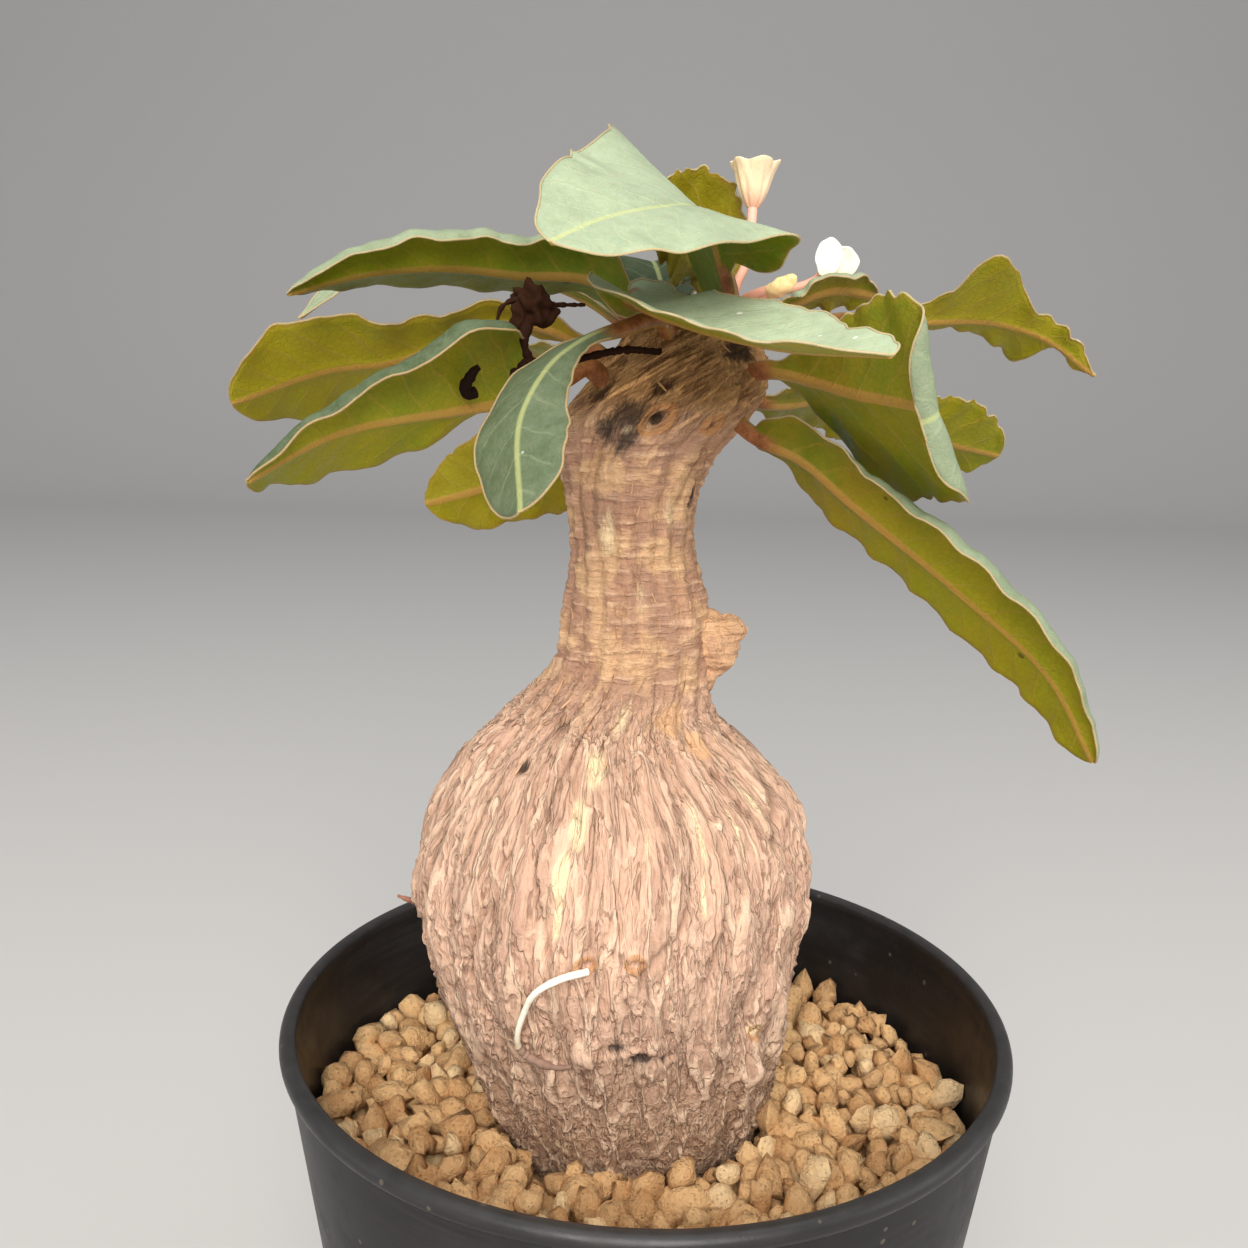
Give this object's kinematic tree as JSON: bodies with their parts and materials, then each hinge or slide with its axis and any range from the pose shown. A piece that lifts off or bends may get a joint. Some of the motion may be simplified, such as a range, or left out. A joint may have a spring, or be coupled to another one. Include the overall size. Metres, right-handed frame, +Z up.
{
  "type": "potted plant",
  "caption": "Bottle-stemmed euphorbia with a ribbed swollen stem and wavy leaves in a round black nursery pot of pumice.",
  "frame": {"origin": "middle of the pot's underside, on the floor it stands on", "axes": "+Z up along the pot's axis, -Y the side seen in the picture, +X to its right"},
  "size_m": [0.1332, 0.12, 0.2509],
  "materials": {
    "black_plastic": "satin moulded plastic",
    "pumice": "dry porous granules",
    "bark": "rough bark",
    "leaf": "waxy leaf",
    "cream_petal": "soft petal",
    "white_petal": "soft petal",
    "withered": "dry and wrinkled",
    "pale_root": "dry root"
  },
  "bodies": {
    "root": {"pot": "black_plastic", "soil": "pumice", "caudex": "bark", "leaf_back": "leaf", "leaf_back_left": "leaf", "leaf_back_right": "leaf", "leaf_behind_neck": "leaf", "leaf_crest": "leaf", "leaf_curly_right": "leaf", "leaf_fan_right": "leaf", "leaf_far_left": "leaf", "leaf_front": "leaf", "leaf_hanging_front": "leaf", "leaf_left": "leaf", "leaf_long_right": "leaf", "leaf_lower_left": "leaf", "leaf_lower_right": "leaf", "leaf_upper_left": "leaf", "leaf_upright": "leaf", "leaf_young_right": "leaf", "flower_upright": "cream_petal", "flower_white": "white_petal", "bud": "cream_petal", "flower_dried": "withered", "dried_hook": "withered", "fine_root": "pale_root"}
  },
  "joints": []
}
